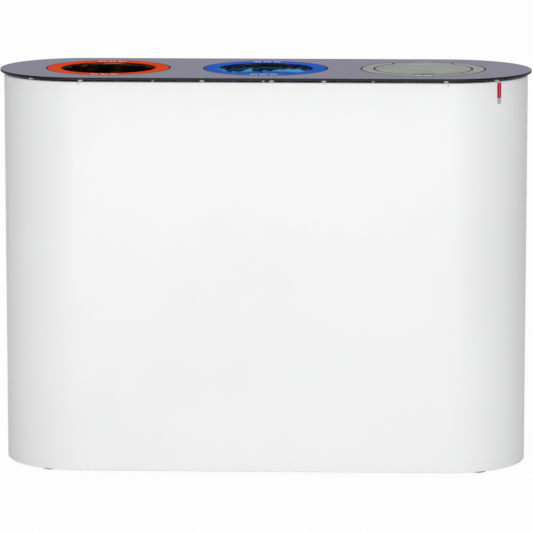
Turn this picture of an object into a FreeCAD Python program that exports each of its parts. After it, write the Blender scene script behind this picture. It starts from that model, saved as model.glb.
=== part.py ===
import FreeCAD, Part
import math
import os
import re
import Sketcher
from FreeCAD import Rotation, Vector

# Free-standing recycling station: one long body with round ends, three bins inside,
# a hinged lid plate with three throw-in rings, and a lifting flap on the right-hand ring.
# Millimetres. The origin is on the floor under the middle of the body, +Z is up,
# +X runs along the body and the front faces -Y.

SIZES = [
    ("total_height", 934, "floor to the top face of the lid plate"),
    ("half_straight", 427, "half of the straight length between the round ends"),
    ("shell_radius", 185, "outer radius of the round ends of the body"),
    ("shell_wall", 1.5, "sheet thickness of the body"),
    ("flange_width", 17, "width of the rim folded inwards, top and bottom"),
    ("shell_lift", 10, "floor to the lower edge of the body"),
    ("pan_thick", 2, "floor pan thickness"),
    ("fit_gap", 0.3, "gap between pieces that sit beside each other"),
    ("pin_gap", 0.05, "radial running gap of pins, screws and studs"),
    ("lid_overhang", 9, "how far the lid plate stands past the body"),
    ("lid_gap", 5.5, "shadow gap between the body's rim and the lid plate"),
    ("plate_thick", 6, "lid plate thickness"),
    ("plate_chamfer", 0.8, "chamfer on the lid plate's edges"),
    ("bin_pitch", 368, "distance between neighbouring bins"),
    ("ring_radius", 145, "outer radius of a throw-in ring"),
    ("ring_thick", 3, "thickness of a ring's flange"),
    ("ring_gap", 1.2, "gap between a ring and its recess"),
    ("seat_width", 6.5, "width of the ledge that a ring's flange sits on"),
    ("throw_inset", 34, "ring's outer edge to the throw-in hole"),
    ("ring_edge", 0.5, "bevel on a ring's upper edges"),
    ("lip_thick", 1.5, "thickness of an open ring at its throw-in hole"),
    ("lip_slope", 6, "width over which it thins towards the hole"),
    ("collar_wall", 3, "wall of the collar under the flap's ring"),
    ("boss_inset", 14, "ring edge to the middle of a screw boss"),
    ("boss_radius", 5, "radius of a screw boss"),
    ("washer_radius", 12, "radius of a retaining washer"),
    ("washer_thick", 2, "thickness of a retaining washer"),
    ("screw_radius", 2, "shank radius of the small screws"),
    ("head_radius", 3.5, "head radius of the small screws"),
    ("head_thick", 2, "head height of the small screws"),
    ("skin_over", 1.5, "material left over a blind screw hole"),
    ("flap_inset", 31.5, "ring's outer edge to the flap's rim"),
    ("flap_gap", 2, "gap round the flap"),
    ("flap_thick", 3, "flap thickness"),
    ("flap_rest", 0.3, "height of the flap over its ledge"),
    ("ledge_width", 7.5, "width of the ledge under the flap's rim"),
    ("ledge_thick", 2.5, "thickness of that ledge"),
    ("tab_reach", 17.5, "flap's rim to the back of its hinge tab"),
    ("tab_inset", 75.5, "ring's outer edge to the side of the hinge tab"),
    ("tab_gap", 2, "gap behind the hinge tab"),
    ("rib_inset", 22, "flap's rim to the stiffening rib under it"),
    ("rib_wall", 3, "wall of that rib"),
    ("rib_depth", 4, "depth of that rib"),
    ("notch_half", 26, "half width of the finger notch"),
    ("notch_depth", 18, "depth of the finger notch"),
    ("notch_rim", 1, "ring left standing in front of the finger notch"),
    ("flap_axis_inset", 8.5, "flap's rim in to the flap's pivot"),
    ("flap_axis_drop", 5.5, "flap pivot below the ring's top face"),
    ("flap_pin_radius", 1.5, "radius of the flap's pins"),
    ("flap_pin_length", 25, "length of a flap pin"),
    ("lug_thick", 5, "thickness of the ring's hinge lugs"),
    ("lug_half", 3.5, "half depth of the hinge lugs and knuckles"),
    ("lug_drop", 3, "lug below the pivot"),
    ("lug_root", 0.5, "how far lugs and knuckles run into the sheet above them"),
    ("knuckle_long", 19, "length of the flap's knuckles"),
    ("hinge_pitch", 300, "distance between the three lid hinges"),
    ("hinge_half", 40, "half width of a hinge leaf"),
    ("hinge_split", 14, "half width of the lid leaf's knuckle, with its gap"),
    ("hinge_radius", 4, "radius of the hinge barrel"),
    ("hinge_pin_radius", 2, "radius of the hinge pin"),
    ("knuckle_gap", 1, "hinge barrel to the full width of a leaf"),
    ("hinge_clear", 0.5, "hinge barrel to the body and to the lid plate"),
    ("leaf_thick", 2, "thickness of the lid leaf"),
    ("leaf_depth", 32, "depth of the lid leaf under the plate"),
    ("back_leaf_thick", 1.5, "thickness of the body leaf"),
    ("back_leaf_height", 35, "height of the body leaf"),
    ("hinge_screw_step", 28, "distance between the screws of a leaf"),
    ("hinge_screw_inset", 29, "hinge axis to the lid leaf's screws"),
    ("rivet_radius", 1.6, "shank radius of the rivets"),
    ("rivet_head", 3.3, "head radius of the rivets"),
    ("rivet_thick", 1.6, "head height of the rivets"),
    ("rivet_drop", 22, "hinge axis down to the rivets"),
    ("catch_width", 22, "width of a magnetic catch"),
    ("catch_deep", 14, "depth of a magnetic catch"),
    ("catch_tall", 18, "height of a magnetic catch"),
    ("catch_ear", 4, "height of its ear under the body's rim"),
    ("magnet_radius", 5.5, "radius of the magnet"),
    ("magnet_thick", 4, "thickness of the magnet"),
    ("keeper_long", 46, "length of the keeper plate"),
    ("keeper_screw_step", 34, "distance between the keeper's screws"),
    ("pad_inset", 9, "body's outer face to the middle of a rest pad"),
    ("pad_long", 10, "length of a rest pad"),
    ("pad_wide", 6, "width of a rest pad"),
    ("pad_place_a", 140, "inner pair of rest pads"),
    ("pad_place_b", 420, "outer pair of rest pads"),
    ("pad_middle", 20, "rest pad beside the middle"),
    ("rim_rivet_place", 425, "rivets beside the outer rest pads"),
    ("rim_rivet_drop", 4.6, "body's rim down to those rivets"),
    ("rim_rivet_radius", 1.4, "shank radius of those rivets"),
    ("rim_rivet_head", 2.4, "head radius of those rivets"),
    ("rim_rivet_thick", 0.8, "head height of those rivets"),
    ("bumper_radius", 4, "radius of a clear bumper"),
    ("bumper_place", 253, "outer pair of clear bumpers"),
    ("bumper_middle", 1, "middle clear bumper"),
    ("bin_taper", 10, "how much less a bin's radius is at its floor"),
    ("bin_top_radius", 150, "outer radius of a bin under its bead"),
    ("bin_wall", 1.5, "bin wall"),
    ("bin_top_drop", 16, "bin's rim below the lid plate"),
    ("bead_wide", 5.5, "width of the bead round a bin's rim"),
    ("bead_tall", 8, "height of that bead"),
    ("hand_long", 80, "length of a bin's hand hole"),
    ("hand_tall", 26, "height of a bin's hand hole"),
    ("hand_drop", 45, "bin's rim to the middle of a hand hole"),
    ("neck_inset", 14, "bin's outside to the inside of the bag ring's neck"),
    ("neck_height", 8, "height of that neck over the bin's rim"),
    ("ring_sheet", 2, "thickness of a bag ring"),
    ("skirt_height", 12, "height of the bag ring's skirt"),
    ("skirt_gap", 1.5, "gap between the skirt and the bin's bead"),
    ("film_thick", 0.8, "thickness of the liner's solid"),
    ("film_gap", 0.4, "gap round the liner"),
    ("cuff_height", 5.5, "liner's cuff outside the neck"),
    ("slack_inset", 7.5, "throw-in hole to where the slack film of an open bag turns up"),
    ("slack_reach", 17.5, "least distance from there out to the bag ring's neck"),
    ("slack_rise", 3, "how far the slack rises to there"),
    ("slack_lean", 3.3, "how much further in its edge under the ring is"),
    ("slack_drop", 3.4, "ring's top face to that edge"),
    ("divider_thick", 1.5, "divider sheet thickness"),
    ("divider_height", 864, "divider height over the floor pan"),
    ("divider_flange", 15, "width of the divider's folded flanges"),
    ("divider_screw", 100, "divider screws from the middle"),
    ("divider_screw_radius", 2.5, "shank radius of the divider's screws"),
    ("divider_head_radius", 4.5, "head radius of the divider's screws"),
    ("foot_x", 500, "levelling feet from the middle, lengthwise"),
    ("foot_y", 112, "levelling feet from the middle, crosswise"),
    ("foot_radius", 22, "radius of a foot's pad"),
    ("foot_height", 7, "height of a foot's pad"),
    ("stud_seat", 3, "floor to the lower end of a foot's stud"),
    ("stud_radius", 4, "radius of a foot's stud"),
    ("stud_length", 31, "length of a foot's stud"),
    ("nut_radius", 7.5, "corner radius of the stud's nuts"),
    ("jam_nut_height", 4, "height of the nut under the pan"),
    ("top_nut_height", 6.5, "height of the nut over the pan"),
    ("anchor_x", 140, "floor bolt holes from the middle, lengthwise"),
    ("anchor_y", 150, "floor bolt holes from the middle, crosswise"),
    ("anchor_radius", 5.5, "radius of a floor bolt hole"),
    ("drain_radius", 6, "radius of a drain hole"),
    ("tag_angle", 38.4, "direction of the tag on the right-hand round end"),
    ("tag_width", 11, "width of the tag"),
    ("tag_drop", 2.5, "body's rim to the top of the tag"),
    ("tag_red", 35.5, "height of the red part of the tag"),
    ("tag_silver", 13, "height of the silver part of the tag"),
    ("tag_thick", 0.8, "thickness of the tag"),
]

# Radii that follow from other sizes, for use in expressions by name.
DERIVED = {
    "slack_mouth": "(slack_waist - slack_lean)",
    "slack_waist": "min(throw_radius + slack_inset; neck_radius - slack_reach)",
    "tab_half": "(ring_radius - tab_inset)",
    "flap_radius": "(ring_radius - flap_inset)",
    "throw_radius": "(ring_radius - throw_inset)",
    "tab_radius": "(ring_radius - flap_inset + tab_reach)",
    "rib_radius": "(ring_radius - flap_inset - rib_inset)",
    "flap_axis_y": "(ring_radius - flap_inset - flap_axis_inset)",
    "bin_bottom_radius": "(bin_top_radius - bin_taper)",
    "neck_radius": "(bin_top_radius - neck_inset)",
}

PLATE_LOW = "(total_height - plate_thick)"
RIM_TOP = "(total_height - plate_thick - lid_gap)"
PLATE_RADIUS = "(shell_radius + lid_overhang)"
INNER_RADIUS = "(shell_radius - shell_wall)"
MOUTH_RADIUS = "(shell_radius - flange_width)"
PAN_LOW = "(shell_lift + shell_wall)"
PAN_TOP = "(shell_lift + shell_wall + pan_thick)"
SEAT_LEVEL = "(total_height - ring_thick)"
HOLE_RADIUS = "(ring_radius - seat_width)"
BOSS_PLACE = "((ring_radius - boss_inset) * sqrt(0.5))"
WASHER_LOW = "(total_height - plate_thick - washer_thick)"
BLIND_TOP = "(total_height - skin_over)"
AXIS_Y = "(shell_radius + hinge_clear + hinge_radius)"
AXIS_Z = "(total_height - plate_thick - hinge_clear - hinge_radius)"
LEAF_LOW = "(total_height - plate_thick - leaf_thick)"
FLAP_AXIS_Z = "(total_height - flap_axis_drop)"
LEDGE_TOP = "(total_height - flap_thick - flap_rest)"
LEDGE_LOW = "(total_height - flap_thick - flap_rest - ledge_thick)"
FLAP_HOLE = "(flap_radius + flap_gap)"
BIN_TOP = "(total_height - plate_thick - bin_top_drop)"
NECK_TOP = "(total_height - plate_thick - bin_top_drop + neck_height)"
KEEPER_LOW = "(total_height - plate_thick - leaf_thick)"
CATCH_X = "(bin_pitch / 2)"
CATCH_Y = "(flange_width + catch_deep / 2 - shell_radius)"
CATCH_TOP = "(total_height - plate_thick - leaf_thick - 2 * fit_gap)"
PAD_Y = "(pad_inset - shell_radius)"

PLACES = (("left", "0 - bin_pitch"), ("middle", "0 * bin_pitch"), ("right", "bin_pitch"))
SIGNS = ("-1", "1")

doc = FreeCAD.newDocument("recycling_station")
sheet = doc.addObject("Spreadsheet::Sheet", "sizes")
parts = []


def linked(text):
    """Point every size named in an expression at its cell in the sheet."""
    for name, meaning in DERIVED.items():
        text = re.sub(rf"\b{name}\b", meaning, text)
    return re.sub(r"\b[a-z]+_\w+", r"sizes.\g<0>", text)


def value(text):
    """The number that an expression gives with the present sizes."""
    return float(sheet.evalExpression(linked(text)))


def fill_sheet():
    for row, (alias, number, meaning) in enumerate(SIZES, start=1):
        sheet.set(f"A{row}", alias)
        sheet.set(f"B{row}", str(number))
        sheet.set(f"C{row}", meaning)
        sheet.setAlias(f"B{row}", alias)
    doc.recompute()


def new_body(label, along="0"):
    """A PartDesign body for one sub-part, moved along X to its place."""
    body = doc.addObject("PartDesign::Body", label)
    body.Label = label
    body.setExpression("Placement.Base.x", linked(along))
    parts.append(body)
    return body


def new_sketch(body, level="0", role="XY_Plane"):
    """A sketch on one of the body's own planes, raised by a level along its normal."""
    sketch = body.newObject("Sketcher::SketchObject", "Sketch")
    plane = [item for item in body.Origin.OriginFeatures if item.Role == role][0]
    sketch.AttachmentSupport = [(plane, "")]
    sketch.MapMode = "FlatFace"
    sketch.setExpression("AttachmentOffset.Base.z", linked(level))
    return sketch


def hold(sketch, constraint, text):
    """Add a dimension and bind it to the sheet."""
    index = sketch.addConstraint(constraint)
    sketch.setExpression(f"Constraints[{index}]", linked(text))


def hold_point(sketch, geometry, point, across, up):
    """Dimension one point of the sketch from the origin."""
    hold(sketch, Sketcher.Constraint("DistanceX", -1, 1, geometry, point, value(across)), across)
    hold(sketch, Sketcher.Constraint("DistanceY", -1, 1, geometry, point, value(up)), up)


def draw_circles(sketch, places, radius):
    for across, up in places:
        centre = Vector(value(across), value(up), 0)
        circle = sketch.addGeometry(Part.Circle(centre, Vector(0, 0, 1), value(radius)))
        hold_point(sketch, circle, 3, across, up)
        hold(sketch, Sketcher.Constraint("Radius", circle, value(radius)), radius)


def draw_outline(sketch, points):
    """A closed outline of straight lines through dimensioned corners."""
    corners = [Vector(value(across), value(up), 0) for across, up in points]
    lines = []
    for start, end in zip(corners, corners[1:] + corners[:1]):
        lines.append(sketch.addGeometry(Part.LineSegment(start, end)))
    for line, following in zip(lines, lines[1:] + lines[:1]):
        sketch.addConstraint(Sketcher.Constraint("Coincident", line, 2, following, 1))
    for line, (across, up) in zip(lines, points):
        hold_point(sketch, line, 1, across, up)


def draw_box(sketch, left, right, low, high):
    draw_outline(sketch, [(left, low), (right, low), (right, high), (left, high)])


def draw_stadium(sketch, half, radius):
    """Two half circles joined by straight lines, as the body is seen from above."""
    length = value(half)
    size = value(radius)
    turn = Vector(0, 0, 1)
    right = Part.Circle(Vector(length, 0, 0), turn, size)
    left = Part.Circle(Vector(-length, 0, 0), turn, size)
    arc_right = sketch.addGeometry(Part.ArcOfCircle(right, -math.pi / 2, math.pi / 2))
    arc_left = sketch.addGeometry(Part.ArcOfCircle(left, math.pi / 2, 3 * math.pi / 2))
    back = sketch.addGeometry(Part.LineSegment(Vector(length, size, 0), Vector(-length, size, 0)))
    front = sketch.addGeometry(Part.LineSegment(Vector(-length, -size, 0), Vector(length, -size, 0)))
    for first, end, second, start in (
        (arc_right, 2, back, 1),
        (back, 2, arc_left, 1),
        (arc_left, 2, front, 1),
        (front, 2, arc_right, 1),
    ):
        sketch.addConstraint(Sketcher.Constraint("Tangent", first, end, second, start))
    hold_point(sketch, arc_right, 3, half, "0")
    hold_point(sketch, arc_left, 3, f"0 - {half}", "0")
    hold(sketch, Sketcher.Constraint("Radius", arc_right, size), radius)


def pad(body, sketch, length, both_ways=False):
    feature = body.newObject("PartDesign::Pad", "Pad")
    feature.Profile = sketch
    feature.setExpression("Length", linked(length))
    if both_ways:
        feature.SideType = "Symmetric"
    return feature


def pocket(body, sketch, length, both_ways=False):
    feature = body.newObject("PartDesign::Pocket", "Pocket")
    feature.Profile = sketch
    feature.setExpression("Length", linked(length))
    if both_ways:
        feature.SideType = "Symmetric"
    return feature


def turn(body, points):
    """A revolved piece: its half section turned about the body's Z axis."""
    sketch = new_sketch(body, role="XZ_Plane")
    draw_outline(sketch, points)
    feature = body.newObject("PartDesign::Revolution", "Revolution")
    feature.Profile = sketch
    feature.ReferenceAxis = (sketch, ["V_Axis"])
    feature.Angle = 360
    return feature


def pad_circles(body, places, radius, low, length, role="XY_Plane"):
    sketch = new_sketch(body, low, role)
    draw_circles(sketch, places, radius)
    return pad(body, sketch, length)


def drill(body, places, radius, top, depth, role="XY_Plane"):
    """Round holes cut down from a level."""
    sketch = new_sketch(body, top, role)
    draw_circles(sketch, places, radius)
    return pocket(body, sketch, depth)


def pad_box(body, left, right, low, high, level, length, role="XY_Plane"):
    sketch = new_sketch(body, level, role)
    draw_box(sketch, left, right, low, high)
    return pad(body, sketch, length)


def cut_box(body, left, right, low, high, level, length, role="XY_Plane"):
    sketch = new_sketch(body, level, role)
    draw_box(sketch, left, right, low, high)
    return pocket(body, sketch, length)


def bevel(body, feature, level, radius_from, size, round_edge=False):
    """Chamfer or round the edges of a feature that lie at a level, outside a radius."""
    doc.recompute()
    height = value(level)
    inside = value(radius_from)
    names = []
    for index, edge in enumerate(feature.Shape.Edges, start=1):
        box = edge.BoundBox
        flat = abs(box.ZMin - height) < 0.001 and abs(box.ZMax - height) < 0.001
        if flat and max(box.XMax, box.YMax, -box.XMin, -box.YMin) > inside:
            names.append(f"Edge{index}")
    kind = "PartDesign::Fillet" if round_edge else "PartDesign::Chamfer"
    result = body.newObject(kind, "Edge")
    result.Base = (feature, names)
    result.setExpression("Radius" if round_edge else "Size", linked(size))
    return result


def corners(across, up):
    """The four places at plus and minus two distances."""
    return [(f"{a} * {across}", f"{b} * {up}") for a in SIGNS for b in SIGNS]


def at_rings(places):
    """The same places at each of the three rings."""
    return [(f"{middle} + {x}", y) for _, middle in PLACES for x, y in places]


def at_hinges(places):
    """The same places at each of the three hinges."""
    return [(f"{n} * hinge_pitch + {x}", y) for n in ("-1", "0", "1") for x, y in places]


def hinge_screw_places():
    steps = [(f"{n} * hinge_screw_step", f"{AXIS_Y} - hinge_screw_inset") for n in ("-1", "0", "1")]
    return at_hinges(steps)


def rivet_places():
    return at_hinges([(f"{n} * hinge_screw_step", f"{AXIS_Z} - rivet_drop") for n in ("-1", "0", "1")])


def keeper_screw_places():
    return [(f"{side} * {CATCH_X} + {end} * keeper_screw_step / 2", CATCH_Y)
            for side in SIGNS for end in SIGNS]


def rest_pad_places():
    front = [(f"{side} * {place}", PAD_Y) for side in SIGNS for place in ("pad_place_a", "pad_place_b")]
    front.append(("pad_middle", PAD_Y))
    reach = "(shell_radius - pad_inset)"
    ends = [(f"{side} * (half_straight + {reach} * sin(tag_angle * 1 deg))",
             f"0 - {reach} * cos(tag_angle * 1 deg)") for side in SIGNS]
    return front + ends


def rim_rivet_places():
    return [(f"{side} * rim_rivet_place", f"{RIM_TOP} - rim_rivet_drop") for side in SIGNS]


def bumper_places():
    return [("0 - bumper_place", PAD_Y), ("bumper_middle", PAD_Y), ("bumper_place", PAD_Y)]


def divider_screw_places():
    across = "divider_flange / 2 + divider_thick"
    return [(f"{side} * bin_pitch / 2 + {across}", f"{end} * divider_screw")
            for side in SIGNS for end in SIGNS]


def body_shell():
    """One sheet bent round both ends and welded at the back, with a folded rim above and below."""
    body = new_body("body_shell")
    outside = new_sketch(body, "shell_lift")
    draw_stadium(outside, "half_straight", "shell_radius")
    pad(body, outside, f"{RIM_TOP} - shell_lift")
    mouth = new_sketch(body, RIM_TOP)
    draw_stadium(mouth, "half_straight", MOUTH_RADIUS)
    pocket(body, mouth, RIM_TOP)
    hollow = new_sketch(body, f"{RIM_TOP} - shell_wall")
    draw_stadium(hollow, "half_straight", INNER_RADIUS)
    pocket(body, hollow, f"{RIM_TOP} - shell_lift - 2 * shell_wall")
    drill(body, rivet_places(), "rivet_radius + pin_gap", f"0 - {INNER_RADIUS} + shell_wall",
          "4 * shell_wall", "XZ_Plane")
    drill(body, rim_rivet_places(), "rim_rivet_radius + pin_gap", "shell_radius + shell_wall",
          "4 * shell_wall", "XZ_Plane")


def floor_pan():
    """Flat pan lying on the body's lower rim, with holes for the feet, floor bolts and drains."""
    body = new_body("floor_pan")
    outside = new_sketch(body, PAN_LOW)
    draw_stadium(outside, "half_straight", f"{INNER_RADIUS} - fit_gap")
    pad(body, outside, "pan_thick")
    drill(body, corners("foot_x", "foot_y"), "stud_radius + pin_gap", PAN_TOP, "2 * pan_thick")
    drill(body, corners("anchor_x", "anchor_y"), "anchor_radius", PAN_TOP, "2 * pan_thick")
    drains = [(middle, "0") for _, middle in PLACES]
    drill(body, drains, "drain_radius", PAN_TOP, "2 * pan_thick")
    drill(body, divider_screw_places(), "divider_screw_radius + pin_gap", PAN_TOP, "2 * pan_thick")


def dividers():
    """Two folded sheets that keep the bins apart, each a channel with a foot flange."""
    for side, sign in (("left", "-1"), ("right", "1")):
        body = new_body(f"divider_{side}", f"{sign} * bin_pitch / 2")
        depth = f"({INNER_RADIUS} - fit_gap)"
        sketch = new_sketch(body, PAN_TOP)
        draw_outline(sketch, [
            ("0", f"0 - {depth}"), ("divider_flange", f"0 - {depth}"),
            ("divider_flange", f"divider_thick - {depth}"), ("divider_thick", f"divider_thick - {depth}"),
            ("divider_thick", f"{depth} - divider_thick"), ("divider_flange", f"{depth} - divider_thick"),
            ("divider_flange", depth), ("0", depth),
        ])
        pad(body, sketch, "divider_height")
        foot_half = "(divider_screw + 2 * divider_head_radius)"
        pad_box(body, "0.5 * divider_thick", "2 * divider_thick + divider_flange",
                f"0 - {foot_half}", foot_half, PAN_TOP, "divider_thick")
        places = [("divider_flange / 2 + divider_thick", f"{end} * divider_screw") for end in SIGNS]
        drill(body, places, "divider_screw_radius + pin_gap", f"{PAN_TOP} + divider_thick",
              "2 * divider_thick")


def divider_screws():
    body = new_body("divider_screws")
    low = f"{PAN_TOP} - 2 * pan_thick"
    pad_circles(body, divider_screw_places(), "divider_screw_radius", low, "2 * pan_thick + divider_thick")
    pad_circles(body, divider_screw_places(), "divider_head_radius", f"{PAN_TOP} + divider_thick",
                "head_thick")


def feet():
    """Four levelling feet: a plastic pad, a threaded stud and a nut on each side of the pan."""
    places = corners("foot_x", "foot_y")
    pads = new_body("foot_pads")
    pad_circles(pads, places, "foot_radius", "0", "foot_height")
    drill(pads, places, "stud_radius + pin_gap", "foot_height", "foot_height - stud_seat")
    studs = new_body("foot_studs")
    pad_circles(studs, places, "stud_radius", "stud_seat", "stud_length")
    nuts = new_body("foot_nuts")
    jam = new_sketch(nuts, f"{PAN_LOW} - jam_nut_height")
    draw_hexagons(jam, places)
    pad(nuts, jam, "jam_nut_height")
    top = new_sketch(nuts, PAN_TOP)
    draw_hexagons(top, places)
    pad(nuts, top, "top_nut_height")
    drill(nuts, places, "stud_radius + pin_gap", f"{PAN_TOP} + top_nut_height",
          "top_nut_height + pan_thick + jam_nut_height")


def draw_hexagons(sketch, places):
    for x, y in places:
        points = []
        for corner in range(6):
            angle = f"{60 * corner} * 1 deg"
            points.append((f"{x} + nut_radius * cos({angle})", f"{y} + nut_radius * sin({angle})"))
        draw_outline(sketch, points)


def rest_pads():
    """White plastic pads on the rim that the lid plate closes on."""
    body = new_body("rest_pads")
    for x, y in rest_pad_places():
        pad_box(body, f"{x} - pad_long / 2", f"{x} + pad_long / 2", f"{y} - pad_wide / 2",
                f"{y} + pad_wide / 2", RIM_TOP, "lid_gap - fit_gap")


def rim_rivets():
    """Two small rivets through the front sheet, beside the outer rest pads."""
    body = new_body("rim_rivets")
    pad_circles(body, rim_rivet_places(), "rim_rivet_head", "shell_radius", "rim_rivet_thick", "XZ_Plane")
    pad_circles(body, rim_rivet_places(), "rim_rivet_radius", INNER_RADIUS, "shell_wall", "XZ_Plane")
    pad_circles(body, rim_rivet_places(), "0.8 * rim_rivet_head", f"{INNER_RADIUS} - rim_rivet_thick",
                "rim_rivet_thick", "XZ_Plane")


def gap_bumpers():
    """Clear silicone bumpers between the rest pads."""
    body = new_body("gap_bumpers")
    block = pad_circles(body, bumper_places(), "bumper_radius", RIM_TOP, "lid_gap - fit_gap")
    bevel(body, block, f"{PLATE_LOW} - fit_gap", "0", "lid_gap / 4", round_edge=True)


def catches():
    """Two magnetic catches under the front rim, with keepers under the lid plate."""
    blocks = new_body("catch_blocks")
    for side in SIGNS:
        left = f"{side} * {CATCH_X} - catch_width / 2"
        right = f"{side} * {CATCH_X} + catch_width / 2"
        front = f"{CATCH_Y} - catch_deep / 2 + fit_gap"
        pad_box(blocks, left, right, front, f"{CATCH_Y} + catch_deep / 2",
                f"{CATCH_TOP} - catch_tall", "catch_tall")
        pad_box(blocks, left, right, f"fit_gap - {INNER_RADIUS}", f"{CATCH_Y}",
                f"{RIM_TOP} - shell_wall - catch_ear", "catch_ear")
    places = [(f"{side} * {CATCH_X}", CATCH_Y) for side in SIGNS]
    drill(blocks, places, "magnet_radius + pin_gap", CATCH_TOP, "magnet_thick")
    magnets = new_body("catch_magnets")
    pad_circles(magnets, places, "magnet_radius", f"{CATCH_TOP} - magnet_thick", "magnet_thick")
    keepers = new_body("keeper_plates")
    for side in SIGNS:
        pad_box(keepers, f"{side} * {CATCH_X} - keeper_long / 2", f"{side} * {CATCH_X} + keeper_long / 2",
                f"{CATCH_Y} - magnet_radius", f"{CATCH_Y} + magnet_radius", KEEPER_LOW, "leaf_thick")
    drill(keepers, keeper_screw_places(), "screw_radius + pin_gap", PLATE_LOW, "2 * leaf_thick")
    screws = new_body("keeper_screws")
    lid_screws(screws, keeper_screw_places(), KEEPER_LOW)


def lid_screws(body, places, seat):
    """Pan-head screws driven up into the lid plate's blind holes."""
    pad_circles(body, places, "head_radius", f"{seat} - head_thick", "head_thick")
    pad_circles(body, places, "screw_radius", seat, f"{BLIND_TOP} - {seat} - fit_gap")


def hinges():
    """Three butt hinges behind the rim: body leaves, lid leaves, pins, rivets and screws."""
    knuckle = [(AXIS_Y, AXIS_Z)]
    pins = new_body("hinge_pins")
    body_leaves = new_body("hinge_body_leaves")
    lid_leaves = new_body("hinge_lid_leaves")
    for number in ("-1", "0", "1"):
        middle = f"{number} * hinge_pitch"
        pad_circles(pins, knuckle, "hinge_pin_radius", f"{middle} - hinge_half", "2 * hinge_half",
                    "YZ_Plane")
        leaf_low = f"{AXIS_Z} - back_leaf_height"
        ledge = f"{AXIS_Z} - hinge_radius - knuckle_gap"
        pad_box(body_leaves, "shell_radius", "shell_radius + back_leaf_thick", leaf_low, ledge,
                f"{middle} - hinge_half", "2 * hinge_half", "YZ_Plane")
        for start in ("0 - hinge_half", "hinge_split"):
            pad_box(body_leaves, "shell_radius", "shell_radius + back_leaf_thick", ledge, AXIS_Z,
                    f"{middle} + {start}", "hinge_half - hinge_split", "YZ_Plane")
            pad_circles(body_leaves, knuckle, "hinge_radius", f"{middle} + {start}",
                        "hinge_half - hinge_split", "YZ_Plane")
        inner = "(hinge_split - fit_gap)"
        root = f"{AXIS_Y} - hinge_radius - knuckle_gap"
        pad_box(lid_leaves, f"{root} - leaf_depth", root, LEAF_LOW, PLATE_LOW,
                f"{middle} - hinge_half", "2 * hinge_half", "YZ_Plane")
        pad_box(lid_leaves, root, AXIS_Y, LEAF_LOW, PLATE_LOW,
                f"{middle} - {inner}", f"2 * {inner}", "YZ_Plane")
        pad_circles(lid_leaves, knuckle, "hinge_radius", f"{middle} - {inner}", f"2 * {inner}", "YZ_Plane")
    for leaves in (body_leaves, lid_leaves):
        drill(leaves, knuckle, "hinge_pin_radius + pin_gap", "2 * hinge_pitch", "4 * hinge_pitch",
              "YZ_Plane")
    drill(body_leaves, rivet_places(), "rivet_radius + pin_gap", "0 - shell_radius",
          "2 * back_leaf_thick", "XZ_Plane")
    drill(lid_leaves, hinge_screw_places(), "screw_radius + pin_gap", PLATE_LOW, "2 * leaf_thick")
    screws = new_body("hinge_screws")
    lid_screws(screws, hinge_screw_places(), LEAF_LOW)
    rivets = new_body("hinge_rivets")
    outer = "(shell_radius + back_leaf_thick)"
    pad_circles(rivets, rivet_places(), "rivet_head", f"0 - {outer} - rivet_thick", "rivet_thick",
                "XZ_Plane")
    pad_circles(rivets, rivet_places(), "rivet_radius", f"0 - {outer}", "shell_wall + back_leaf_thick",
                "XZ_Plane")
    pad_circles(rivets, rivet_places(), "0.8 * rivet_head", f"0 - {INNER_RADIUS}", "rivet_thick",
                "XZ_Plane")


def bins():
    """Three round galvanised bins with a beaded rim and two hand holes."""
    for side, middle in PLACES:
        body = new_body(f"bin_{side}", middle)
        turn(body, [
            ("0", PAN_TOP), ("bin_bottom_radius", PAN_TOP),
            ("bin_top_radius", f"{BIN_TOP} - bead_tall"),
            ("bin_top_radius + bead_wide", f"{BIN_TOP} - bead_tall"),
            ("bin_top_radius + bead_wide", BIN_TOP), ("bin_top_radius - bin_wall", BIN_TOP),
            ("bin_bottom_radius - bin_wall", f"{PAN_TOP} + bin_wall"), ("0", f"{PAN_TOP} + bin_wall"),
        ])
        holes = new_sketch(body, role="YZ_Plane")
        level = f"({BIN_TOP} - hand_drop)"
        cut = "hand_tall / 4"
        draw_outline(holes, [
            ("0 - hand_long / 2", f"{level} - {cut}"),
            (f"{cut} - hand_long / 2", f"{level} - hand_tall / 2"),
            (f"hand_long / 2 - {cut}", f"{level} - hand_tall / 2"),
            ("hand_long / 2", f"{level} - {cut}"),
            ("hand_long / 2", f"{level} + {cut}"),
            (f"hand_long / 2 - {cut}", f"{level} + hand_tall / 2"),
            (f"{cut} - hand_long / 2", f"{level} + hand_tall / 2"),
            ("0 - hand_long / 2", f"{level} + {cut}"),
        ])
        pocket(body, holes, "4 * bin_top_radius", both_ways=True)


def bag_rings():
    """Loose rings on the bins' rims: the liner's mouth comes up through the neck and folds over it."""
    for side, middle in PLACES:
        body = new_body(f"bag_ring_{side}", middle)
        skirt = "(bin_top_radius + bead_wide + skirt_gap)"
        turn(body, [
            ("neck_radius", BIN_TOP), (skirt, BIN_TOP), (skirt, f"{BIN_TOP} + ring_sheet - skirt_height"),
            (f"{skirt} + ring_sheet", f"{BIN_TOP} + ring_sheet - skirt_height"),
            (f"{skirt} + ring_sheet", f"{BIN_TOP} + ring_sheet"),
            ("neck_radius + ring_sheet", f"{BIN_TOP} + ring_sheet"),
            ("neck_radius + ring_sheet", NECK_TOP), ("neck_radius", NECK_TOP),
        ])


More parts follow.
